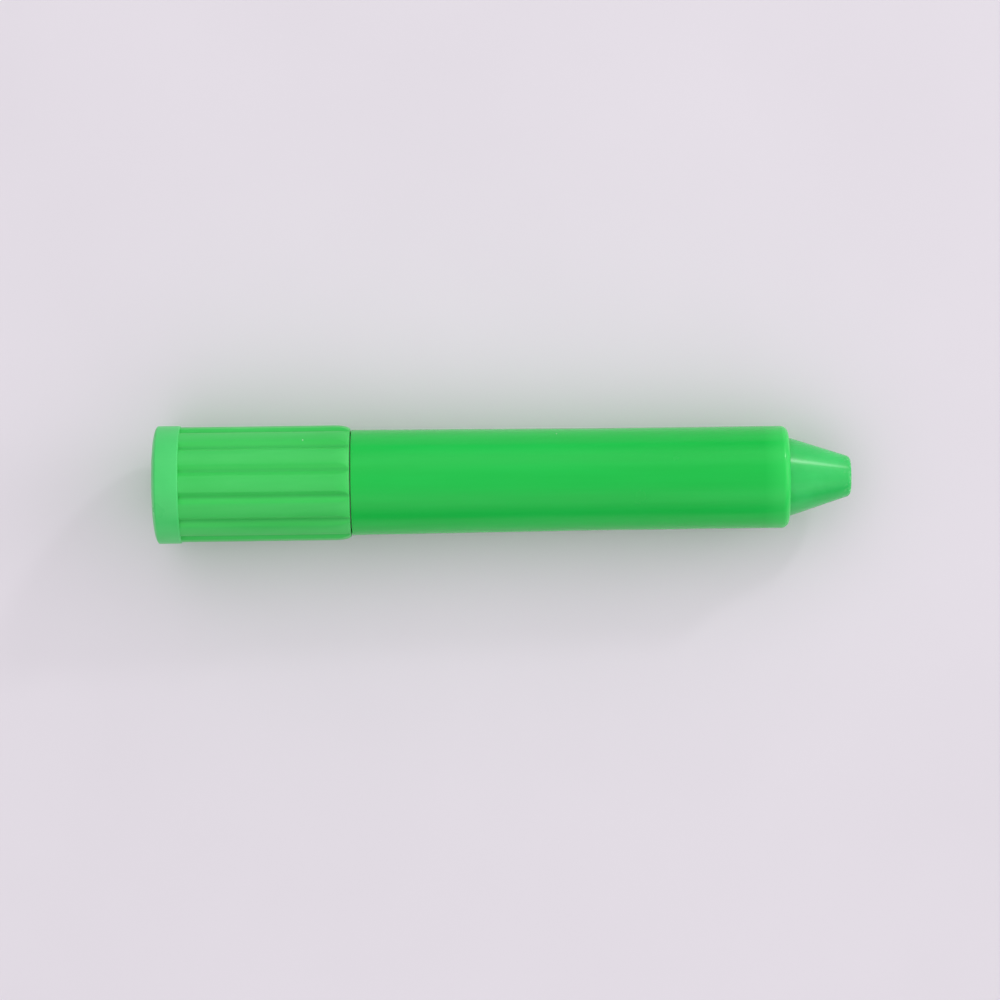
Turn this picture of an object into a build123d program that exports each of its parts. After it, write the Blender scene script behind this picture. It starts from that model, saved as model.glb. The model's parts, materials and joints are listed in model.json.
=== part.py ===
from build123d import *
import os
from math import asin, cos, degrees, radians, sin, sqrt, tan

# Twist-up gel crayon, lying along +X. The origin is the centre of the flat end of the knob,
# +X points to the tip and +Z is up. All sizes are millimetres and degrees.

# Gel core
core_dia = 12.6
tip_reach = 9.7           # tip beyond the lip, as it is at rest
tip_half_angle = 18.0
tip_end_dia = 6.0
tip_edge_radius = 0.9
tip_dome = 0.15           # rise of the end face at its middle

# Barrel
barrel_length = 67.45
barrel_wall = 1.4         # along the straight front land
barrel_draft = 0.25       # gain in radius from the land back to the seam
front_land_length = 28.0
lip_flat = 0.2            # flat ring between the lip's rounding and the bore
guide_width = 2.0
guide_depth = 0.6
guide_count = 2

# Ribbed knob and its end plug
knob_length = 30.5        # end face to seam, rim included
rim_width = 4.3
rim_step = 0.2            # rim above the rib crests
rim_edge_radius = 0.25
end_crown_width = 4.3     # rounded border of the end face
end_crown_drop = 0.9
rib_count = 13
rib_height = 0.5
rib_crown_radius = 5.0
valley_width = 1.1
root_step = 0.25          # valley floor above the barrel's rear end
seam_step = 0.1           # knob's front edge above the barrel's rear end
shoulder_length = 2.8     # rib crests round down to the front edge over this
web_thickness = 2.4
plug_end_wall = 1.6
plug_side_wall = 1.4
plug_spigot_length = 3.7

# Bush between barrel and knob, with its drag ring
bush_wall = 0.63          # under the ring's groove
bush_insert_length = 11.35
bush_flange_height = 0.7
bush_flange_thickness = 1.2
ring_section = 0.9
ring_setback = 4.5

# Spiral sleeve and push rod
rod_dia = 6.0
rod_thread_length = 3.0
thread_lead = 6.0         # left-hand, so a clockwise twist pushes the core out
thread_starts = 2
ridge_width = 1.1         # left standing between the sleeve's grooves
groove_depth = 1.0
sleeve_wall = 0.72
sleeve_blind_wall = 1.0
collar_thickness = 1.5
tail_step = 0.92          # hex tail's flats below the sleeve's outside
barb_length = 1.1
barb_height = 0.18

# Core cup and the rod's snap head
cup_length = 8.0
cup_wall = 0.6
cup_floor = 2.5
key_length = 5.0
tenon_dia = 4.4
head_lip = 0.5
head_taper = 0.6
head_length = 1.2

# Clearances and stops
sliding_clearance = 0.2   # sliding parts, all round
turning_clearance = 0.08  # radial, running fits
fit_clearance = 0.02      # parts pressed together
ring_clearance = 0.03
collar_clearance = 0.4
end_play = 0.1
end_gap = 0.5
seam_gap = 0.15
barb_room = 0.5
flange_room = 0.2
tip_inset = 0.8           # tip inside the lip when wound right back
cup_inset = 1.1           # cup inside the lip when wound right out

# Cross sizes of the outside, from the core outwards
bore_dia = core_dia + 2 * sliding_clearance
barrel_front_dia = bore_dia + 2 * barrel_wall
barrel_rear_dia = barrel_front_dia + 2 * barrel_draft
lip_radius = barrel_wall - lip_flat
guide_dia = bore_dia + 2 * guide_depth
knob_front_dia = barrel_rear_dia + 2 * seam_step
rib_root_dia = barrel_rear_dia + 2 * root_step
rib_crest_dia = rib_root_dia + 2 * rib_height
rim_dia = rib_crest_dia + 2 * rim_step
cup_bore_dia = core_dia - 2 * cup_wall
collar_dia = bore_dia - 2 * collar_clearance
bush_flange_dia = bore_dia + 2 * bush_flange_height

# Cross sizes of the mechanism, from the rod outwards to the knob's bore
head_dia = tenon_dia + 2 * head_lip
sleeve_bore_dia = rod_dia + 2 * sliding_clearance
groove_dia = sleeve_bore_dia + 2 * groove_depth
groove_width = thread_lead / thread_starts - ridge_width
sleeve_dia = groove_dia + 2 * sleeve_wall
tail_flats = sleeve_dia - 2 * tail_step
tail_corner_dia = tail_flats / cos(radians(30))
bush_bore_dia = sleeve_dia + 2 * turning_clearance
ring_groove_dia = bush_bore_dia + 2 * bush_wall
ring_outer_dia = ring_groove_dia + 2 * fit_clearance + 2 * ring_section
knob_bore_dia = ring_outer_dia + 2 * ring_clearance
bush_spigot_dia = knob_bore_dia - 2 * turning_clearance

# Places along the axis, from the end face forwards
barrel_back = knob_length + seam_gap
lip_x = barrel_back + barrel_length
tip_x = lip_x + tip_reach
land_front = lip_x - lip_radius
land_back = land_front - front_land_length
plug_front = rim_width + plug_spigot_length
barb_back = plug_front + barb_room
web_back = barb_back + barb_length
web_front = web_back + web_thickness
bush_back = web_front + end_play
bush_front = barrel_back + bush_insert_length
collar_back = bush_front + end_play
collar_front = collar_back + collar_thickness
sleeve_bore_back = web_front + sleeve_blind_wall

# Travel: the rod's thread stays in the sleeve and the cup stays behind the lip
retract_travel = tip_reach + tip_inset
rod_back = sleeve_bore_back + end_gap + retract_travel
rod_thread_front = rod_back + rod_thread_length
cup_travel_room = lip_x - cup_inset - cup_length - rod_thread_front - 3 * end_gap - retract_travel
feed_travel = cup_travel_room / 2
sleeve_front = rod_thread_front + feed_travel + 2 * end_gap
cup_back = sleeve_front + end_gap + retract_travel
cup_front = cup_back + cup_length
core_back = cup_back + cup_floor
guide_front = cup_back + key_length + feed_travel + end_gap

ON_FOOT = (Align.CENTER, Align.CENTER, Align.MIN)


def laid_along(start, upright):
    """Put an upright shape along the axis, with its foot at start."""
    return Pos(start, 0, 0) * Rot(0, 90, 0) * upright


def bar(start, end, dia):
    """Round bar along the axis."""
    return laid_along(start, Cylinder(dia / 2, end - start, align=ON_FOOT))


def tube(start, end, outer_dia, inner_dia):
    """Round tube along the axis."""
    return bar(start, end, outer_dia) - bar(start, end, inner_dia)


def cone(start, end, start_dia, end_dia):
    """Tapered round bar along the axis."""
    return laid_along(start, Cone(start_dia / 2, end_dia / 2, end - start, align=ON_FOOT))


def hexagon_bar(start, end, flats):
    """Six-sided bar along the axis."""
    section = Plane.YZ.offset(start) * RegularPolygon(flats / 2, 6, major_radius=False)
    return extrude(section, end - start)


def turned(outline):
    """Solid turned about the axis from a closed outline of lines and arcs, x along and y outwards."""
    return revolve(make_face(outline), Axis.X)


def keys(start, end, dia, width):
    """Blocks across the axis, one for each guide groove, that reach out to a diameter."""
    block = Pos((start + end) / 2, dia / 4, 0) * Box(end - start, dia / 2, width)
    blocks = Part() + [Rot(360 * k / guide_count, 0, 0) * block for k in range(guide_count)]
    return blocks & bar(start, end, dia)


def spiral_bar(start, end, inner_dia, outer_dia, thread_width):
    """Bar with a left-hand thread, in step with every other thread of the same lead."""
    turn_per_mm = -360 / thread_lead
    thread_angle = thread_width * 360 / thread_lead
    section = Circle(inner_dia / 2)
    for k in range(thread_starts):
        first_angle = start * turn_per_mm + 360 * k / thread_starts - thread_angle / 2
        crest = CenterArc((0, 0), outer_dia / 2, first_angle, thread_angle)
        section += make_face([Line((0, 0), crest @ 0), crest, Line(crest @ 1, (0, 0))])
    face = (Plane.YZ.offset(start) * section).face()
    length = end - start
    twist = length * turn_per_mm
    return Part() + Solid.extrude_linear_with_rotation(face, (start, 0, 0), (length, 0, 0), twist)


def make_barrel():
    """Tube with a straight front land, a slight draft behind it and a rounded lip."""
    front_radius = barrel_front_dia / 2
    lip = CenterArc((land_front, front_radius - lip_radius), lip_radius, 90, -90)
    side = Polyline(
        (lip_x, bore_dia / 2),
        (barrel_back, bore_dia / 2),
        (barrel_back, barrel_rear_dia / 2),
        (land_back, front_radius),
        lip @ 0,
    )
    tube = turned([side, lip, Line(lip @ 1, side @ 0)])
    return tube - keys(barrel_back, guide_front, guide_dia, guide_width)


def make_mid_bush():
    """Stepped bush: the front is keyed into the barrel, the rear carries the knob."""
    bush = bar(bush_back, barrel_back, bush_spigot_dia)
    bush += bar(barrel_back - bush_flange_thickness, barrel_back, bush_flange_dia)
    bush += bar(barrel_back, bush_front, bore_dia - 2 * fit_clearance)
    bush += keys(barrel_back, bush_front, guide_dia - 2 * fit_clearance, guide_width - 2 * fit_clearance)
    ring_groove_back = bush_back + ring_setback
    ring_groove_front = ring_groove_back + ring_section + 2 * end_play
    bush -= tube(ring_groove_back, ring_groove_front, bush_flange_dia, ring_groove_dia)
    return bush - bar(bush_back, bush_front, bush_bore_dia)


def make_drag_ring():
    """Rubber ring in the bush's groove, against the knob's bore."""
    middle = bush_back + ring_setback + end_play + ring_section / 2
    ring = Torus((ring_outer_dia - ring_section) / 2, ring_section / 2)
    return Pos(middle, 0, 0) * Rot(0, 90, 0) * ring


def rib_section():
    """Cross-section of the knob: crowned ribs with narrow valleys, one rib at the very top."""
    crest_radius = rib_crest_dia / 2
    root_radius = rib_root_dia / 2
    pitch_angle = 360 / rib_count
    edge_side = crest_radius * sin(radians(pitch_angle / 2)) - valley_width / 2
    crown_drop = rib_crown_radius - sqrt(rib_crown_radius ** 2 - edge_side ** 2)
    edge_out = crest_radius - crown_drop
    edges = []
    for k in range(rib_count):
        turn = Rot(0, 0, 90 + k * pitch_angle)
        crown = turn * ThreePointArc((edge_out, -edge_side), (crest_radius, 0), (edge_out, edge_side))
        valley = turn * PolarLine((0, 0), root_radius, pitch_angle / 2) @ 1
        next_crown = Rot(0, 0, pitch_angle) * crown
        edges += [crown, Line(crown @ 1, valley), Line(valley, next_crown @ 0)]
    return make_face(edges)


def make_twist_knob():
    """Ribbed sleeve with a web inside that takes the sleeve's hex tail."""
    prism = extrude(Plane.YZ.offset(rim_width) * rib_section(), knob_length - rim_width)
    shoulder_back = knob_length - shoulder_length
    shoulder_drop = (rib_crest_dia - knob_front_dia) / 2
    shoulder = EllipticalCenterArc(
        (shoulder_back, knob_front_dia / 2), shoulder_length, shoulder_drop, start_angle=90, arc_size=-90
    )
    envelope = Polyline(
        shoulder @ 1,
        (knob_length, 0),
        (rim_width, 0),
        (rim_width, rim_dia / 2),
        (shoulder_back, rim_dia / 2),
        shoulder @ 0,
    )
    knob = prism & turned([shoulder, envelope])
    knob -= bar(rim_width, web_back, knob_bore_dia)
    knob -= bar(web_front, knob_length, knob_bore_dia)
    flange_pocket_back = barrel_back - bush_flange_thickness - flange_room - end_play
    knob -= bar(flange_pocket_back, knob_length, bush_flange_dia + 2 * flange_room)
    return knob - hexagon_bar(web_back, web_front, tail_flats + 2 * fit_clearance)


def make_knob_end_plug():
    """Cap with the smooth rim and the crowned end face, and a hollow spigot in the knob."""
    rim_radius = rim_dia / 2
    spigot_dia = knob_bore_dia - 2 * fit_clearance
    crown = EllipticalCenterArc(
        (end_crown_drop, rim_radius - end_crown_width),
        end_crown_drop,
        end_crown_width,
        start_angle=180,
        arc_size=-90,
    )
    edge_centre = (rim_width - rim_edge_radius, rim_radius - rim_edge_radius)
    front_edge = CenterArc(edge_centre, rim_edge_radius, 90, -90)
    inside = Polyline(front_edge @ 1, (rim_width, 0), (0, 0), crown @ 0)
    plug = turned([crown, Line(crown @ 1, front_edge @ 0), front_edge, inside])
    plug += bar(rim_width, plug_front, spigot_dia)
    return plug - bar(plug_end_wall, plug_front, spigot_dia - 2 * plug_side_wall)


def make_spiral_sleeve():
    """Tube with the spiral groove inside, a thrust collar, and a barbed hex tail for the knob's web."""
    sleeve = bar(web_front, sleeve_front, sleeve_dia)
    sleeve += bar(collar_back, collar_front, collar_dia)
    sleeve += hexagon_bar(barb_back, web_front, tail_flats)
    sleeve += cone(barb_back, web_back, tail_flats, tail_corner_dia + 2 * barb_height)
    return sleeve - spiral_bar(sleeve_bore_back, sleeve_front, sleeve_bore_dia, groove_dia, groove_width)


def make_push_rod():
    """Rod with a short thread at the rear and a tenon with a snap head at the front."""
    thread_dia = groove_dia - 2 * sliding_clearance
    thread_width = groove_width - 2 * sliding_clearance
    rod = spiral_bar(rod_back, rod_thread_front, rod_dia, thread_dia, thread_width)
    rod += bar(rod_thread_front, cup_back, rod_dia)
    rod += bar(cup_back, core_back, tenon_dia)
    return rod + cone(core_back, core_back + head_length, head_dia, head_dia - 2 * head_taper)


def make_core_cup():
    """Cup that grips the core's root, with keys that run in the barrel's guide grooves."""
    cup = bar(cup_back, cup_front, core_dia)
    key_dia = guide_dia - 2 * sliding_clearance
    cup += keys(cup_back, cup_back + key_length, key_dia, guide_width - 2 * sliding_clearance)
    cup -= bar(core_back, cup_front, cup_bore_dia)
    return cup - bar(cup_back, core_back, tenon_dia + 2 * fit_clearance)


def make_gel_core():
    """Solid core: root in the cup, straight body, cone and a slightly domed end."""
    core_radius = core_dia / 2
    tip_radius = tip_end_dia / 2
    end_edge_x = tip_x - tip_dome
    cone_back = end_edge_x - (core_radius - tip_radius) / tan(radians(tip_half_angle))
    dome_radius = (tip_radius ** 2 + tip_dome ** 2) / (2 * tip_dome)
    dome_angle = degrees(asin(tip_radius / dome_radius))
    dome = CenterArc((tip_x - dome_radius, 0), dome_radius, 0, dome_angle)
    root_radius = cup_bore_dia / 2 - fit_clearance
    recess_radius = head_dia / 2 + fit_clearance
    recess_front = core_back + head_length + end_play
    side = Polyline(
        (tip_x, 0),
        (recess_front, 0),
        (recess_front, recess_radius),
        (core_back, recess_radius),
        (core_back, root_radius),
        (cup_front, root_radius),
        (cup_front, core_radius),
        (cone_back, core_radius),
        dome @ 1,
    )
    outline = make_face([dome, side])
    tip_corner = outline.vertices().sort_by_distance(dome @ 1)[0]
    return revolve(fillet(tip_corner, tip_edge_radius), Axis.X)


pieces = {
    "barrel": make_barrel(),
    "mid_bush": make_mid_bush(),
    "drag_ring": make_drag_ring(),
    "twist_knob": make_twist_knob(),
    "knob_end_plug": make_knob_end_plug(),
    "spiral_sleeve": make_spiral_sleeve(),
    "push_rod": make_push_rod(),
    "core_cup": make_core_cup(),
    "gel_core": make_gel_core(),
}

os.makedirs("parts", exist_ok=True)
for name, piece in pieces.items():
    export_step(piece, f"parts/{name}.step")

print(f"feed travel {feed_travel:.3f} mm, retract travel {retract_travel:.3f} mm")
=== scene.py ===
import json
from math import acos, cos, hypot, pi, radians, sin, sqrt, tan

import bmesh
import bpy
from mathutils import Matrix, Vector


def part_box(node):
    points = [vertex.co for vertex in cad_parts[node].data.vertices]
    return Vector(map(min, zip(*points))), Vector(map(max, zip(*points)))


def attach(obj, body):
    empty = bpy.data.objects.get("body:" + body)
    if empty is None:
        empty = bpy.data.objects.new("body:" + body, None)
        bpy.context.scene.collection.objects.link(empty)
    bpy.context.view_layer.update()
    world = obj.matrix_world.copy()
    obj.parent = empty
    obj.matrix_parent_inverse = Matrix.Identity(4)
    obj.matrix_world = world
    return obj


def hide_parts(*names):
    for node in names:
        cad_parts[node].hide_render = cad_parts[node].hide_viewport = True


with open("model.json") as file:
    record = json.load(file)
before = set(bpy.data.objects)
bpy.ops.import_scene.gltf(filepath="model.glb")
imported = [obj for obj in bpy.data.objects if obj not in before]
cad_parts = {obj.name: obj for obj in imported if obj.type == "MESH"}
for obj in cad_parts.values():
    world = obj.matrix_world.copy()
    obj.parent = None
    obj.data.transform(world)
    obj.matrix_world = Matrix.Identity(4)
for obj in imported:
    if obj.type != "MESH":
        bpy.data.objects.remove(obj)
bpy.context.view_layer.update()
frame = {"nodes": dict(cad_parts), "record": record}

# Twist-up gel crayon, lying along +X with its tip to the right. Sizes are millimetres unless a name
# says otherwise, and become metres where a mesh, a lamp or a camera is made.

MM = 0.001


def box_mm(node):
    """Lowest and highest corner of a node, in millimetres."""
    low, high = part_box(node)
    return low / MM, high / MM


# Places and outside sizes, from the frame
barrel_low, barrel_high = box_mm("barrel")
knob_low, knob_high = box_mm("twist_knob")
plug_high = box_mm("knob_end_plug")[1]
core_low, core_high = box_mm("gel_core")
cup_high = box_mm("core_cup")[1]
ring_high = box_mm("drag_ring")[1]
grip = next(mount for mount in frame["record"]["mounts"] if mount["name"] == "barrel_grip")
land_radius = grip["dims"]["r_mm"]
land_front = grip["pos_m"][0] / MM + grip["dims"]["length_mm"] / 2
land_back = land_front - grip["dims"]["length_mm"]
lip_x = barrel_high.x
seam_x = barrel_low.x
tip_x = core_high.x
crest_radius = knob_high.z
rim_radius = plug_high.z

# Barrel
barrel_bore_radius = 6.5
barrel_edge_radius = 0.12
bore_edge_radius = 0.15
draft_blend_radius = 3000.0    # softens the change from the drafted rear to the straight land
lip_painted_light_length = 4.0          # how far the painted light at the lip fades back along the tube
guide_radius = 7.1
guide_width = 2.0
guide_front = 94.5
cutter_overshoot = 1.0         # the cutter of the guide grooves starts this far behind the tube

# Ribbed knob
rib_count = 13
rib_crown_radius = 5.0
rib_root_radius = 8.4
valley_width = 1.1
valley_floor_radius = 0.18
rib_edge_blend = 0.16          # how far a rib's edge rolls into its valley
shoulder_blend = 0.06
shoulder_length = 2.8
knob_front_radius = 8.25
ring_clearance = 0.03
web_back = 9.6
web_front = 12.0
hex_flats = 8.04
flange_pocket_back = 29.15
flange_pocket_radius = 7.4

# End plug
end_crown_width = 4.3
end_crown_drop = 0.9
rim_edge_radius = 0.25
plug_spigot_radius = 6.56
plug_inner_radius = 5.16
plug_end_wall = 1.6
spigot_edge_radius = 0.3
gate_radius = 1.3              # moulding mark in the middle of the end face
gate_depth = 0.25
gate_edge_radius = 0.12

# Gel core
tip_half_angle = 18.0
tip_end_radius = 3.0
tip_edge_radius = 0.9
tip_dome = 0.15
tip_dome_rings = (2.0, 1.3, 0.6, 0)    # radii at which the domed end has points
core_root_radius = 5.68
core_edge_radius = 0.6
head_recess_radius = 2.72
head_recess_depth = 1.3
scuff_length = 1.6             # how far white scuffing reaches back from the end

# Look of the moulded plastics
streak_width = 4.0             # flow streaks, measured across the axis
rubbed_patch_size = 9.0
rubbed_roughness_gain = 0.12
grain_size = 0.5               # the mould's own texture is finer, and is drawn this coarse so that it shows
dust_spacing = 2.6             # one speck at most in each cell of this size
dust_threshold = 0.93          # cells with a higher draw than this, from 0 to 1, hold a speck
dust_cover = 0.5               # how far a speck hides the plastic

# Floor and camera
floor_reach = 6000.0           # from the middle to each edge
lens_length = 163.0
sensor_width = 36.0
camera_height = 700.0
camera_far_limit = 10000.0
picture_middle = (53.5, -3.0)
picture_turn_degrees = 0.76

# Fineness of the meshes
turned_columns = 192
columns_per_rib = 48
arc_steps = 10
long_arc_steps = 24
knob_straight_rows = 6
sharp_edge_degrees = 35


# Outlines: points of x along the axis and radius outwards

def arc(centre, size, first_angle, last_angle, steps):
    """Points of an elliptical arc between two angles in degrees."""
    points = []
    for k in range(steps + 1):
        angle = radians(first_angle + (last_angle - first_angle) * k / steps)
        points.append((centre[0] + size[0] * cos(angle), centre[1] + size[1] * sin(angle)))
    return points


def rounded_corner(before, corner, after, radius):
    """Points that round a corner, tangent to the lines to its two neighbours."""
    to_before = (Vector(before) - Vector(corner)).normalized()
    to_after = (Vector(after) - Vector(corner)).normalized()
    half_angle = acos(max(-1.0, min(1.0, to_before.dot(to_after)))) / 2
    middle = (to_before + to_after).normalized()
    centre = Vector(corner) + middle * radius / sin(half_angle)
    first = Vector(corner) + to_before * radius / tan(half_angle) - centre
    side = Vector((-first.y, first.x))
    if side.dot(to_before) > 0:
        side = -side
    points = []
    for k in range(arc_steps + 1):
        angle = (pi - 2 * half_angle) * k / arc_steps
        points.append(tuple(centre + first * cos(angle) + side * sin(angle)))
    return points


def outline(corners, closed):
    """Points through corners of x, radius and rounding. The ends of an open outline stay sharp."""
    points = []
    for k, (x, r, rounding) in enumerate(corners):
        end = not closed and k in (0, len(corners) - 1)
        if rounding == 0 or end:
            points.append((x, r))
        else:
            before = corners[k - 1][:2]
            after = corners[(k + 1) % len(corners)][:2]
            points += rounded_corner(before, (x, r), after, rounding)
    return points


# Meshes

def turned(name, points, closed, columns=turned_columns, shape=None):
    """Mesh turned about the axis. shape, where it is given, may change a radius by point number and angle."""
    mesh = bmesh.new()
    rings = []
    for number, (x, r) in enumerate(points):
        if r == 0:
            rings.append([mesh.verts.new((x * MM, 0, 0))])
            continue
        ring = []
        for k in range(columns):
            angle = 2 * pi * k / columns
            changed = shape(number, angle) if shape else None
            radius = changed or r
            ring.append(mesh.verts.new((x * MM, radius * sin(angle) * MM, radius * cos(angle) * MM)))
        rings.append(ring)
    pairs = list(zip(rings, rings[1:]))
    if closed:
        pairs.append((rings[-1], rings[0]))
    for ring, following in pairs:
        for k in range(columns):
            corners = [ring[k % len(ring)], ring[(k + 1) % len(ring)]]
            corners += [following[(k + 1) % len(following)], following[k % len(following)]]
            mesh.faces.new(list(dict.fromkeys(corners)))
    bmesh.ops.recalc_face_normals(mesh, faces=mesh.faces)
    result = bpy.data.meshes.new(name)
    mesh.to_mesh(result)
    mesh.free()
    return result


def smooth_shaded(mesh):
    """Shade a mesh smooth, with its sharp edges kept."""
    mesh.polygons.foreach_set("use_smooth", [True] * len(mesh.polygons))
    mesh.set_sharp_from_angle(angle=radians(sharp_edge_degrees))
    return mesh


def placed(name, mesh):
    """Object at the origin that shows a mesh, a lamp or a camera."""
    made = bpy.data.objects.new(name, mesh)
    bpy.context.scene.collection.objects.link(made)
    return made


def evaluated_mesh(source):
    """Plain mesh of an object with its modifiers worked out. The object is removed."""
    graph = bpy.context.evaluated_depsgraph_get()
    mesh = bpy.data.meshes.new_from_object(source.evaluated_get(graph))
    bpy.data.objects.remove(source)
    return mesh


def piece(name, mesh, material, body, node):
    """Finished piece that stands for a node and rides on its body."""
    made = placed(name, smooth_shaded(mesh))
    mesh.materials.clear()
    mesh.materials.append(material)
    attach(made, body)
    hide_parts(node)
    return made


# Nodes and colours

def add(tree, kind, inputs, **settings):
    """Add a node with its settings. Each input is a constant or the output that it is linked to.

    Inputs go by name, or by number where a node repeats a name or has none. A Map Range takes its value as 0,
    the range that it comes from as 1 and 2, and the range that it goes to as 3 and 4. A colour Mix takes its
    factor as 0 and its colours as 6 and 7, and gives the result as output 2.
    """
    made = tree.nodes.new(kind)
    for name, value in settings.items():
        setattr(made, name, value)
    for key, value in inputs.items():
        if isinstance(value, bpy.types.NodeSocket):
            tree.links.new(value, made.inputs[key])
        else:
            made.inputs[key].default_value = value
    return made


def colour(hex_code):
    """Linear colour of an sRGB hex value."""
    channels = [int(hex_code[k:k + 2], 16) / 255 for k in (1, 3, 5)]
    return [c / 12.92 if c <= 0.04045 else ((c + 0.055) / 1.055) ** 2.4 for c in channels] + [1.0]


def per_mm(size):
    """Scale of a pattern whose features are this many millimetres apart, on coordinates in metres."""
    return 1 / (size * MM)


def new_material(name):
    """Empty node material, and the tree it is built in."""
    material = bpy.data.materials.new(name)
    material.use_nodes = True
    material.node_tree.nodes.clear()
    return material, material.node_tree


def moulded_plastic(name, base, pale, roughness, streak_length, grain_depth, speck_size, ribs=None, lip=None):
    """Coloured polypropylene: flow streaks along the axis, rubbed patches, fine texture and dust.

    ribs, where it is given, holds the colours of soiling with painted shade in the valleys and of worn
    crests. lip is the colour of painted light that the plastic takes on towards the lip.
    """
    material, tree = new_material(name)
    place = add(tree, "ShaderNodeTexCoord", {}).outputs["Object"]

    # Streaks where the plastic flowed along the mould
    along = (per_mm(streak_length), per_mm(streak_width), per_mm(streak_width))
    stretched = add(tree, "ShaderNodeMapping", {"Vector": place, "Scale": along}).outputs[0]
    flow = add(tree, "ShaderNodeTexNoise", {"Vector": stretched, "Scale": 1.0, "Detail": 3.0}).outputs["Fac"]
    streaks = add(tree, "ShaderNodeMapRange", {0: flow, 1: 0.3, 2: 0.7, 3: 0.0, 4: 1.0}).outputs[0]
    shade = add(tree, "ShaderNodeMix", {0: streaks, 6: base, 7: pale}, data_type="RGBA").outputs[2]

    # Painted light: paler colour towards the lip, for light that enters the end of the tube and shows through
    # it
    if lip:
        ahead = add(tree, "ShaderNodeSeparateXYZ", {0: place}).outputs["X"]
        lip_painted_light_range = {0: ahead, 1: (lip_x - lip_painted_light_length) * MM, 2: lip_x * MM, 3: 0.0, 4: 1.0}
        lip_painted_light = add(tree, "ShaderNodeMapRange", lip_painted_light_range).outputs[0]
        shade = add(tree, "ShaderNodeMix", {0: lip_painted_light, 6: shade, 7: lip}, data_type="RGBA").outputs[2]

    # Soiling with painted shade in the valleys between the ribs, and crests worn paler in places
    if ribs:
        valley_soil_and_shade, worn = ribs
        depth = add(tree, "ShaderNodeAttribute", {}, attribute_name="valley_depth").outputs["Fac"]
        soil_and_shade_mask = add(tree, "ShaderNodeMapRange", {0: depth, 1: 0.7, 2: 1.0, 3: 0.0, 4: 0.25}).outputs[0]
        shade = add(tree, "ShaderNodeMix", {0: soil_and_shade_mask, 6: shade, 7: valley_soil_and_shade}, data_type="RGBA").outputs[2]
        crest = add(tree, "ShaderNodeMapRange", {0: depth, 1: 0.0, 2: 0.2, 3: 0.35, 4: 0.0}).outputs[0]
        wear = add(tree, "ShaderNodeMath", {0: crest, 1: flow}, operation="MULTIPLY").outputs[0]
        shade = add(tree, "ShaderNodeMix", {0: wear, 6: shade, 7: worn}, data_type="RGBA").outputs[2]

    # Specks of dust
    dots = add(tree, "ShaderNodeTexVoronoi", {"Vector": place, "Scale": per_mm(dust_spacing)}).outputs
    reach = {0: dots["Distance"], 1: speck_size / dust_spacing}
    near = add(tree, "ShaderNodeMath", reach, operation="LESS_THAN").outputs[0]
    draw = add(tree, "ShaderNodeSeparateColor", {0: dots["Color"]}).outputs["Red"]
    chosen = add(tree, "ShaderNodeMath", {0: draw, 1: dust_threshold}, operation="GREATER_THAN").outputs[0]
    speck = add(tree, "ShaderNodeMath", {0: near, 1: chosen}, operation="MULTIPLY").outputs[0]
    cover = add(tree, "ShaderNodeMath", {0: speck, 1: dust_cover}, operation="MULTIPLY").outputs[0]
    dust = colour("#eef4ee")
    shade = add(tree, "ShaderNodeMix", {0: cover, 6: shade, 7: dust}, data_type="RGBA").outputs[2]

    # Patches rubbed duller, and the texture of the mould
    patches = {"Vector": place, "Scale": per_mm(rubbed_patch_size), "Detail": 6.0}
    rub = add(tree, "ShaderNodeTexNoise", patches).outputs["Fac"]
    dulling = {0: rub, 1: 0.35, 2: 0.7, 3: roughness, 4: roughness + rubbed_roughness_gain}
    rubbed = add(tree, "ShaderNodeMapRange", dulling).outputs[0]
    texture = {"Vector": place, "Scale": per_mm(grain_size), "Detail": 4.0}
    grain = add(tree, "ShaderNodeTexNoise", texture).outputs["Fac"]
    bump = add(tree, "ShaderNodeBump", {"Strength": 0.1, "Distance": grain_depth * MM, "Height": grain})
    shader = add(tree, "ShaderNodeBsdfPrincipled", {
        "Base Color": shade,
        "Roughness": rubbed,
        "Normal": bump.outputs[0],
        "IOR": 1.49,
        "Specular IOR Level": 0.25,
        "Subsurface Weight": 0.12,
        "Subsurface Radius": (0.4, 1.0, 0.5),
        "Subsurface Scale": 0.8 * MM,
    })
    add(tree, "ShaderNodeOutputMaterial", {"Surface": shader.outputs[0]})
    return material


def barrel_polypropylene():
    """Polished mould, so the tube is glossy, with faint streaks, dust, and painted light at the lip."""
    return moulded_plastic(
        "polypropylene_glossy_green",
        base=colour("#18be47"),
        pale=colour("#20c850"),
        roughness=0.16,
        streak_length=60.0,
        grain_depth=0.003,
        speck_size=0.12,
        # painted light: the lip is drawn paler, as if lit through its end
        lip=colour("#34d65e"),
    )


def knob_polypropylene():
    """The same plastic with more white in it and a softer gloss, and hand soiling with painted shade in the
    valleys.
    """
    return moulded_plastic(
        "polypropylene_satin_green",
        base=colour("#38c656"),
        pale=colour("#43ce60"),
        roughness=0.3,
        streak_length=20.0,
        grain_depth=0.012,
        speck_size=0.14,
        # soiling with painted shade in the valleys, and paler worn crests
        ribs=(colour("#2a9c4a"), colour("#5fd57a")),
    )


def rim_polypropylene():
    """The knob's plastic on the smooth plug, a little paler and cleaner because fingers seldom hold it."""
    return moulded_plastic(
        "polypropylene_plug_green",
        base=colour("#49d06d"),
        pale=colour("#53d776"),
        roughness=0.26,
        streak_length=6.0,
        grain_depth=0.008,
        speck_size=0.12,
    )


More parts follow.
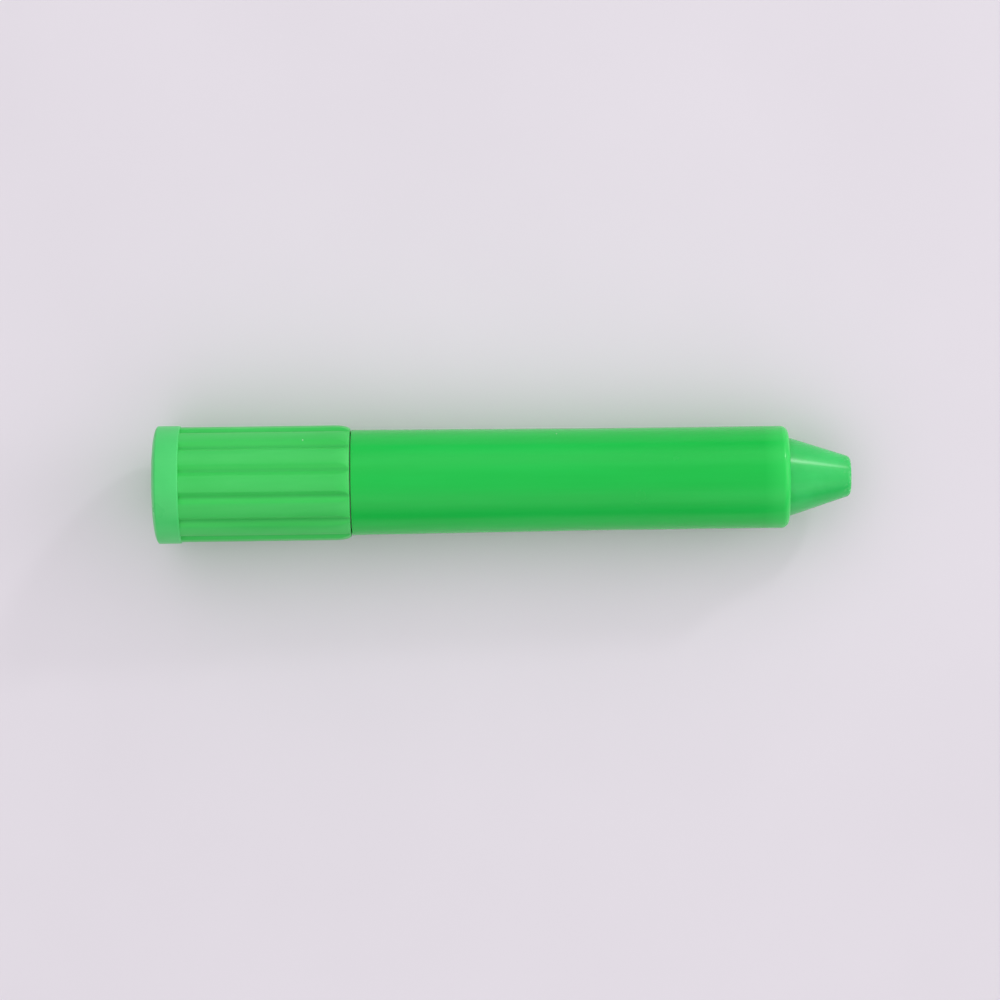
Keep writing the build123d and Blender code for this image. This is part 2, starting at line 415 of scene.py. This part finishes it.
def waxy_gel():
    """Soft wax gel, cast: glossy where it met the mould, cloudy inside, scuffed white at the end."""
    cloud_size = 5.0
    smear_size = 0.6
    pit_size = 1.2
    pit_depth = 0.05
    material, tree = new_material("wax_gel_green")
    place = add(tree, "ShaderNodeTexCoord", {}).outputs["Object"]

    # Cloudy colour
    clouds = {"Vector": place, "Scale": per_mm(cloud_size), "Detail": 5.0}
    cloud = add(tree, "ShaderNodeTexNoise", clouds).outputs["Fac"]
    cloudy = add(tree, "ShaderNodeMapRange", {0: cloud, 1: 0.3, 2: 0.7, 3: 0.0, 4: 1.0}).outputs[0]
    greens = {0: cloudy, 6: colour("#2ac15b"), 7: colour("#3acd69")}
    shade = add(tree, "ShaderNodeMix", greens, data_type="RGBA").outputs[2]

    # White scuffing, which fades back from the end and is duller
    along = add(tree, "ShaderNodeSeparateXYZ", {0: place}).outputs["X"]
    scuff_range = {0: along, 1: (tip_x - scuff_length) * MM, 2: tip_x * MM, 3: 0.0, 4: 1.0}
    end = add(tree, "ShaderNodeMapRange", scuff_range).outputs[0]
    smears = {"Vector": place, "Scale": per_mm(smear_size), "Detail": 6.0}
    smear = add(tree, "ShaderNodeTexNoise", smears).outputs["Fac"]
    smeared = add(tree, "ShaderNodeMapRange", {0: smear, 1: 0.5, 2: 0.8, 3: 0.0, 4: 0.36}).outputs[0]
    scuff = add(tree, "ShaderNodeMath", {0: end, 1: smeared}, operation="MULTIPLY").outputs[0]
    white = colour("#c9efd3")
    shade = add(tree, "ShaderNodeMix", {0: scuff, 6: shade, 7: white}, data_type="RGBA").outputs[2]
    dull = add(tree, "ShaderNodeMapRange", {0: scuff, 1: 0.0, 2: 0.5, 3: 0.24, 4: 0.5}).outputs[0]

    # Shallow pits
    pitting = {"Vector": place, "Scale": per_mm(pit_size), "Detail": 4.0}
    pits = add(tree, "ShaderNodeTexNoise", pitting).outputs["Fac"]
    bump = add(tree, "ShaderNodeBump", {"Strength": 0.15, "Distance": pit_depth * MM, "Height": pits})
    shader = add(tree, "ShaderNodeBsdfPrincipled", {
        "Base Color": shade,
        "Roughness": dull,
        "Normal": bump.outputs[0],
        "IOR": 1.45,
        "Specular IOR Level": 0.4,
        "Subsurface Weight": 0.45,
        "Subsurface Radius": (0.5, 1.0, 0.6),
        "Subsurface Scale": 1.6 * MM,
    })
    add(tree, "ShaderNodeOutputMaterial", {"Surface": shader.outputs[0]})
    return material


def natural_acetal():
    """Uncoloured acetal of the hidden works: milky white, faintly uneven, with a dry soft gloss."""
    cloud_size = 6.0
    fine_grain_size = 0.4    # the mould's own texture is finer, and is drawn this coarse so that it shows
    fine_grain_depth = 0.02
    material, tree = new_material("acetal_natural_white")
    place = add(tree, "ShaderNodeTexCoord", {}).outputs["Object"]
    clouds = {"Vector": place, "Scale": per_mm(cloud_size), "Detail": 4.0}
    cloud = add(tree, "ShaderNodeTexNoise", clouds).outputs["Fac"]
    whites = {0: cloud, 6: colour("#e3e2d8"), 7: colour("#f3f2ec")}
    shade = add(tree, "ShaderNodeMix", whites, data_type="RGBA").outputs[2]
    dry = add(tree, "ShaderNodeMapRange", {0: cloud, 1: 0.3, 2: 0.7, 3: 0.38, 4: 0.52}).outputs[0]
    texture = {"Vector": place, "Scale": per_mm(fine_grain_size), "Detail": 3.0}
    grain = add(tree, "ShaderNodeTexNoise", texture).outputs["Fac"]
    bump = add(tree, "ShaderNodeBump", {"Strength": 0.15, "Distance": fine_grain_depth * MM, "Height": grain})
    shader = add(tree, "ShaderNodeBsdfPrincipled", {
        "Base Color": shade,
        "Roughness": dry,
        "Normal": bump.outputs[0],
        "IOR": 1.48,
        "Subsurface Weight": 0.2,
        "Subsurface Radius": (1.0, 1.0, 0.9),
        "Subsurface Scale": 0.8 * MM,
    })
    add(tree, "ShaderNodeOutputMaterial", {"Surface": shader.outputs[0]})
    return material


def silicone_rubber():
    """Greased silicone ring: near black, matt, with a fine bloom that dulls it in patches."""
    bloom_size = 1.5
    bloom_depth = 0.03
    material, tree = new_material("silicone_rubber_black")
    place = add(tree, "ShaderNodeTexCoord", {}).outputs["Object"]
    blooms = {"Vector": place, "Scale": per_mm(bloom_size), "Detail": 4.0}
    bloom = add(tree, "ShaderNodeTexNoise", blooms).outputs["Fac"]
    blacks = {0: bloom, 6: colour("#161617"), 7: colour("#2c2c2e")}
    shade = add(tree, "ShaderNodeMix", blacks, data_type="RGBA").outputs[2]
    matt = add(tree, "ShaderNodeMapRange", {0: bloom, 1: 0.3, 2: 0.7, 3: 0.5, 4: 0.75}).outputs[0]
    bump = add(tree, "ShaderNodeBump", {"Strength": 0.2, "Distance": bloom_depth * MM, "Height": bloom})
    shader = add(tree, "ShaderNodeBsdfPrincipled", {
        "Base Color": shade,
        "Roughness": matt,
        "Normal": bump.outputs[0],
        "IOR": 1.41,
    })
    add(tree, "ShaderNodeOutputMaterial", {"Surface": shader.outputs[0]})
    return material


def matt_board():
    """Matt board of the floor: pale grey with a touch of violet, and a faint cloudiness."""
    cloud_size = 40.0
    material, tree = new_material("matt_board_pale")
    place = add(tree, "ShaderNodeTexCoord", {}).outputs["Object"]
    clouds = {"Vector": place, "Scale": per_mm(cloud_size), "Detail": 3.0}
    cloud = add(tree, "ShaderNodeTexNoise", clouds).outputs["Fac"]
    greys = {0: cloud, 6: colour("#e1dae3"), 7: colour("#e7e0e9")}
    shade = add(tree, "ShaderNodeMix", greys, data_type="RGBA").outputs[2]
    shader = add(tree, "ShaderNodeBsdfPrincipled", {"Base Color": shade, "Roughness": 0.7})
    add(tree, "ShaderNodeOutputMaterial", {"Surface": shader.outputs[0]})
    return material


# Pieces

def make_barrel():
    """Tube with a drafted rear, a straight front and a rounded lip, and two guide grooves in its bore."""
    corners = [
        (seam_x, barrel_bore_radius, barrel_edge_radius),
        (seam_x, barrel_high.y, barrel_edge_radius),
        (land_back, land_radius, draft_blend_radius),
        (lip_x, land_radius, lip_x - land_front),
        (lip_x, barrel_bore_radius, bore_edge_radius),
    ]
    tube = placed("barrel_blank", turned("barrel_blank", outline(corners, closed=True), closed=True))

    # One bar right across the bore cuts both grooves
    half_width = guide_width / 2
    reach = sqrt(guide_radius ** 2 - half_width ** 2)
    section = [(reach, half_width), (guide_radius, 0), (reach, -half_width)]
    section += [(-y, -z) for y, z in section]
    cutter_back = seam_x - cutter_overshoot
    cutter = bmesh.new()
    ring = [cutter.verts.new((cutter_back * MM, y * MM, z * MM)) for y, z in section]
    face = cutter.faces.new(ring)
    grown = bmesh.ops.extrude_face_region(cutter, geom=[face])["geom"]
    moved = [part for part in grown if isinstance(part, bmesh.types.BMVert)]
    bmesh.ops.translate(cutter, verts=moved, vec=((guide_front - cutter_back) * MM, 0, 0))
    bmesh.ops.recalc_face_normals(cutter, faces=cutter.faces)
    cutter_mesh = bpy.data.meshes.new("guide_cutter")
    cutter.to_mesh(cutter_mesh)
    cutter.free()
    cutter_object = placed("guide_cutter", cutter_mesh)
    cut = tube.modifiers.new("guide_grooves", "BOOLEAN")
    cut.operation = "DIFFERENCE"
    cut.solver = "EXACT"
    cut.object = cutter_object
    mesh = evaluated_mesh(tube)
    bpy.data.objects.remove(cutter_object)
    return piece("barrel_tube", mesh, barrel_polypropylene(), "barrel_body", "barrel")


def valley_slope():
    """Rise of a valley's flank for each millimetre away from its middle."""
    edge_side = crest_radius * sin(pi / rib_count) - valley_width / 2
    crown_drop = rib_crown_radius - sqrt(rib_crown_radius ** 2 - edge_side ** 2)
    edge_radius = hypot(crest_radius - crown_drop, edge_side)
    return (edge_radius - rib_root_radius) / (valley_width / 2)


def rib_tree(material):
    """Geometry nodes that press the valleys between the ribs into a turned blank, and their inputs' values."""
    tree = bpy.data.node_groups.new("pressed_ribs", "GeometryNodeTree")
    sizes = {
        "Rib Count": rib_count,
        "Crest Radius": crest_radius * MM,
        "Crown Radius": rib_crown_radius * MM,
        "Root Radius": rib_root_radius * MM,
        "Valley Slope": valley_slope(),
        "Floor Radius": valley_floor_radius * MM,
        "Edge Blend": rib_edge_blend * MM,
        "Shoulder Blend": shoulder_blend * MM,
    }
    tree.interface.new_socket("Geometry", in_out="INPUT", socket_type="NodeSocketGeometry")
    tree.interface.new_socket("Geometry", in_out="OUTPUT", socket_type="NodeSocketGeometry")
    values = {}
    for name, value in sizes.items():
        socket = tree.interface.new_socket(name, in_out="INPUT", socket_type="NodeSocketFloat")
        values[socket.identifier] = value
    given = add(tree, "NodeGroupInput", {}).outputs
    crest_size = given["Crest Radius"]
    crown_size = given["Crown Radius"]
    root_size = given["Root Radius"]
    floor_size = given["Floor Radius"]
    math = "ShaderNodeMath"

    # Angle from the middle of the nearest rib
    place = add(tree, "GeometryNodeInputPosition", {}).outputs[0]
    split = add(tree, "ShaderNodeSeparateXYZ", {0: place}).outputs
    angle = add(tree, math, {0: split["Y"], 1: split["Z"]}, operation="ARCTAN2").outputs[0]
    half_pitch = add(tree, math, {0: pi, 1: given["Rib Count"]}, operation="DIVIDE").outputs[0]
    low = add(tree, math, {0: half_pitch, 1: -1.0}, operation="MULTIPLY").outputs[0]
    turn = add(tree, math, {0: angle, 1: half_pitch, 2: low}, operation="WRAP").outputs[0]

    # Radius of the rib's crown along that ray
    offset = add(tree, math, {0: crest_size, 1: crown_size}, operation="SUBTRACT").outputs[0]
    cosine = add(tree, math, {0: turn}, operation="COSINE").outputs[0]
    sine = add(tree, math, {0: turn}, operation="SINE").outputs[0]
    across = add(tree, math, {0: offset, 1: sine}, operation="MULTIPLY").outputs[0]
    across_squared = add(tree, math, {0: across, 1: across}, operation="MULTIPLY").outputs[0]
    crown_squared = add(tree, math, {0: crown_size, 1: crown_size}, operation="MULTIPLY").outputs[0]
    rest = add(tree, math, {0: crown_squared, 1: across_squared}, operation="SUBTRACT").outputs[0]
    root = add(tree, math, {0: rest}, operation="SQRT").outputs[0]
    crown = add(tree, math, {0: offset, 1: cosine, 2: root}, operation="MULTIPLY_ADD").outputs[0]

    # Radius of the valley's flank, rounded at its floor
    swing = add(tree, math, {0: turn}, operation="ABSOLUTE").outputs[0]
    away = add(tree, math, {0: half_pitch, 1: swing}, operation="SUBTRACT").outputs[0]
    run = add(tree, math, {0: away, 1: root_size}, operation="MULTIPLY").outputs[0]
    rise = add(tree, math, {0: run, 1: given["Valley Slope"]}, operation="MULTIPLY").outputs[0]
    rise_squared = add(tree, math, {0: rise, 1: rise}, operation="MULTIPLY").outputs[0]
    curve_parts = {0: floor_size, 1: floor_size, 2: rise_squared}
    curve_squared = add(tree, math, curve_parts, operation="MULTIPLY_ADD").outputs[0]
    curve = add(tree, math, {0: curve_squared}, operation="SQRT").outputs[0]
    base = add(tree, math, {0: root_size, 1: floor_size}, operation="SUBTRACT").outputs[0]
    flank = add(tree, math, {0: base, 1: curve}, operation="ADD").outputs[0]

    # The lower of the two, never outside the blank
    edge_parts = {0: crown, 1: flank, 2: given["Edge Blend"]}
    ribbed = add(tree, math, edge_parts, operation="SMOOTH_MIN").outputs[0]
    flat_place = add(tree, "ShaderNodeCombineXYZ", {"Y": split["Y"], "Z": split["Z"]}).outputs[0]
    blank = add(tree, "ShaderNodeVectorMath", {0: flat_place}, operation="LENGTH").outputs["Value"]
    shoulder_parts = {0: ribbed, 1: blank, 2: given["Shoulder Blend"]}
    radius = add(tree, math, shoulder_parts, operation="SMOOTH_MIN").outputs[0]
    share = add(tree, math, {0: radius, 1: blank}, operation="DIVIDE").outputs[0]
    new_y = add(tree, math, {0: split["Y"], 1: share}, operation="MULTIPLY").outputs[0]
    new_z = add(tree, math, {0: split["Z"], 1: share}, operation="MULTIPLY").outputs[0]
    pressed = add(tree, "ShaderNodeCombineXYZ", {"X": split["X"], "Y": new_y, "Z": new_z}).outputs[0]

    # Depth below the crests, as a share of a valley's whole depth
    sunk = add(tree, math, {0: crest_size, 1: ribbed}, operation="SUBTRACT").outputs[0]
    full = add(tree, math, {0: crest_size, 1: root_size}, operation="SUBTRACT").outputs[0]
    depth = add(tree, math, {0: sunk, 1: full}, operation="DIVIDE").outputs[0]

    # Only the outside is pressed
    marked = add(tree, "GeometryNodeInputNamedAttribute", {"Name": "outside"}, data_type="BOOLEAN")
    outside = marked.outputs[0]
    stored = add(
        tree,
        "GeometryNodeStoreNamedAttribute",
        {"Geometry": given["Geometry"], "Selection": outside, "Name": "valley_depth", "Value": depth},
        data_type="FLOAT",
        domain="POINT",
    ).outputs[0]
    moving = {"Geometry": stored, "Selection": outside, "Position": pressed}
    moved = add(tree, "GeometryNodeSetPosition", moving).outputs[0]
    whole = add(tree, "GeometryNodeRealizeInstances", {"Geometry": moved}).outputs[0]
    finished = add(tree, "GeometryNodeSetMaterial", {"Geometry": whole, "Material": material}).outputs[0]
    add(tree, "NodeGroupOutput", {0: finished})
    return tree, values


def make_knob():
    """Ribbed sleeve with a rounded shoulder at the seam, and inside it a web with a six-sided hole."""
    shoulder_back = knob_high.x - shoulder_length
    shoulder_rise = crest_radius - knob_front_radius
    row_length = (shoulder_back - knob_low.x) / knob_straight_rows
    outside = [(knob_low.x + row_length * k, crest_radius) for k in range(knob_straight_rows)]
    shoulder_size = (shoulder_length, shoulder_rise)
    outside += arc((shoulder_back, knob_front_radius), shoulder_size, 90, 0, long_arc_steps)
    bore_radius = ring_high.y + ring_clearance
    inside = [
        (knob_high.x, flange_pocket_radius),
        (flange_pocket_back, flange_pocket_radius),
        (flange_pocket_back, bore_radius),
        (web_front, bore_radius),
        (web_front, hex_flats / 2),
        (web_back, hex_flats / 2),
        (web_back, bore_radius),
        (knob_low.x, bore_radius),
    ]
    web_rows = [len(outside) + k for k, (x, r) in enumerate(inside) if r == hex_flats / 2]

    def six_sided(number, angle):
        """Radius of the web's hole, on its two rows."""
        if number not in web_rows:
            return None
        flat_angle = (angle + pi / 6) % (pi / 3) - pi / 6
        return hex_flats / 2 / cos(flat_angle)

    columns = rib_count * columns_per_rib
    mesh = turned("knob_blank", outside + inside, True, columns, six_sided)
    pressed_rows = mesh.attributes.new("outside", "BOOLEAN", "POINT")
    count = len(outside) * columns
    pressed_rows.data.foreach_set("value", [k < count for k in range(len(mesh.vertices))])
    blank = placed("knob_blank", mesh)
    material = knob_polypropylene()
    tree, values = rib_tree(material)
    ribs = blank.modifiers.new("ribs", "NODES")
    ribs.node_group = tree
    for identifier, value in values.items():
        ribs[identifier] = value
    return piece("ribbed_knob", evaluated_mesh(blank), material, "knob_body", "twist_knob")


def make_plug():
    """Smooth rim and crowned end face, with a hollow spigot that fills the knob's rear."""
    flat_radius = rim_radius - end_crown_width
    gate_corners = [
        (gate_depth, 0, 0),
        (gate_depth, gate_radius, gate_edge_radius),
        (0, gate_radius, gate_edge_radius),
        (0, flat_radius, 0),
    ]
    rim_corners = [
        (end_crown_drop, rim_radius, 0),
        (knob_low.x, rim_radius, rim_edge_radius),
        (knob_low.x, plug_spigot_radius, 0),
        (plug_high.x, plug_spigot_radius, spigot_edge_radius),
        (plug_high.x, plug_inner_radius, 0),
        (plug_end_wall, plug_inner_radius, 0),
        (plug_end_wall, 0, 0),
    ]
    crown_size = (end_crown_drop, end_crown_width)
    crown = arc((end_crown_drop, flat_radius), crown_size, 180, 90, long_arc_steps)
    points = outline(gate_corners, closed=False)[:-1] + crown[:-1] + outline(rim_corners, closed=False)
    mesh = turned("end_plug", points, closed=False)
    return piece("end_plug", mesh, rim_polypropylene(), "knob_body", "knob_end_plug")


def make_core():
    """Cast core: recessed root in the cup, straight body, cone, rounded edge and a slightly domed end."""
    edge_x = tip_x - tip_dome
    cone_back = edge_x - (core_high.y - tip_end_radius) / tan(radians(tip_half_angle))
    dome_radius = (tip_end_radius ** 2 + tip_dome ** 2) / (2 * tip_dome)
    dome = []
    for radius in tip_dome_rings:
        dome.append((tip_x - dome_radius + sqrt(dome_radius ** 2 - radius ** 2), radius, 0))
    recess_front = core_low.x + head_recess_depth
    corners = [
        (recess_front, 0, 0),
        (recess_front, head_recess_radius, 0),
        (core_low.x, head_recess_radius, 0),
        (core_low.x, core_root_radius, 0),
        (cup_high.x, core_root_radius, 0),
        (cup_high.x, core_high.y, 0),
        (cone_back, core_high.y, core_edge_radius),
        (edge_x, tip_end_radius, tip_edge_radius),
    ]
    points = outline(corners + dome, closed=False)
    mesh = turned("gel_stick", points, closed=False)
    return piece("gel_stick", mesh, waxy_gel(), "core_body", "gel_core")


def dress_works():
    """Finishes of the pieces inside, which keep their own shapes."""
    acetal = natural_acetal()
    rubber = silicone_rubber()
    finishes = {
        "mid_bush": acetal,
        "spiral_sleeve": acetal,
        "push_rod": acetal,
        "core_cup": acetal,
        "drag_ring": rubber,
    }
    for name, material in finishes.items():
        mesh = frame["nodes"][name].data
        mesh.materials.clear()
        mesh.materials.append(material)


# Floor, light and camera

def make_floor():
    """Pale floor that the crayon rests on, touched by its rim and the front of its barrel."""
    rim_touch_x = knob_low.x - rim_edge_radius
    slope = (rim_radius - land_radius) / (land_front - rim_touch_x)
    corners = []
    for x_side, y_side in ((-1, -1), (1, -1), (1, 1), (-1, 1)):
        x = x_side * floor_reach
        y = y_side * floor_reach
        corners.append((x * MM, y * MM, (slope * (x - rim_touch_x) - rim_radius) * MM))
    mesh = bpy.data.meshes.new("floor_card")
    mesh.from_pydata(corners, [], [(0, 1, 2, 3)])
    mesh.materials.append(matt_board())
    placed("floor_card", mesh)


def make_softbox(name, place, size, watts):
    """Square softbox that faces the middle of the crayon. Its place and size are millimetres."""
    lamp = bpy.data.lights.new(name, "AREA")
    lamp.size = size * MM
    lamp.energy = watts
    made = placed(name, lamp)
    made.location = Vector(place) * MM
    aim = Vector((tip_x / 2 * MM, 0, 0)) - made.location
    made.rotation_euler = aim.to_track_quat("-Z", "Y").to_euler()


def level_towards(tree, axis, nearness, levels):
    """Light that goes from one level to another as a direction comes nearer to an axis.

    The nearness is the direction's product with the axis.
    """
    towards = add(tree, "ShaderNodeTexCoord", {}).outputs["Generated"]
    product = add(tree, "ShaderNodeVectorMath", {0: towards, 1: axis}, operation="DOT_PRODUCT").outputs
    change = {0: product["Value"], 1: nearness[0], 2: nearness[1], 3: levels[0], 4: levels[1]}
    return add(tree, "ShaderNodeMapRange", change).outputs[0]


def make_world():
    """Soft room: bright all round and most beyond the tip, dimmer overhead and at the horizon."""
    world = bpy.data.worlds.new("soft_room")
    world.use_nodes = True
    tree = world.node_tree
    tree.nodes.clear()
    height = level_towards(tree, axis=(0.05, 0.05, 1), nearness=(0.2, 0.6), levels=(0.14, 1.2))
    overhead = level_towards(tree, axis=(0.3, 0.05, 1), nearness=(0.8, 0.97), levels=(1.0, 0.45))
    beyond_tip = level_towards(tree, axis=(0.96, 0.2, 0.2), nearness=(0.8, 0.97), levels=(0.0, 1.8))
    room = {0: height, 1: overhead, 2: beyond_tip}
    strength = add(tree, "ShaderNodeMath", room, operation="MULTIPLY_ADD").outputs[0]
    light = add(tree, "ShaderNodeBackground", {"Color": colour("#ffffff"), "Strength": strength}).outputs[0]
    add(tree, "ShaderNodeOutputWorld", {"Surface": light})
    bpy.context.scene.world = world


def make_camera():
    """Long lens straight above, turned a little so that the tip end lies slightly higher in the picture."""
    lens = bpy.data.cameras.new("camera")
    lens.sensor_width = sensor_width
    lens.lens = lens_length
    lens.clip_end = camera_far_limit * MM
    made = placed("camera", lens)
    made.location = Vector((*picture_middle, camera_height)) * MM
    made.rotation_euler = (0, 0, -radians(picture_turn_degrees))
    bpy.context.scene.camera = made


make_barrel()
make_knob()
make_plug()
make_core()
dress_works()
make_floor()
make_softbox("key_softbox", place=(602, 596, 418), size=80, watts=0.9)
make_softbox("side_softbox", place=(598, 720, 200), size=320, watts=0.4)
make_world()
make_camera()
bpy.context.scene.view_settings.view_transform = "Standard"
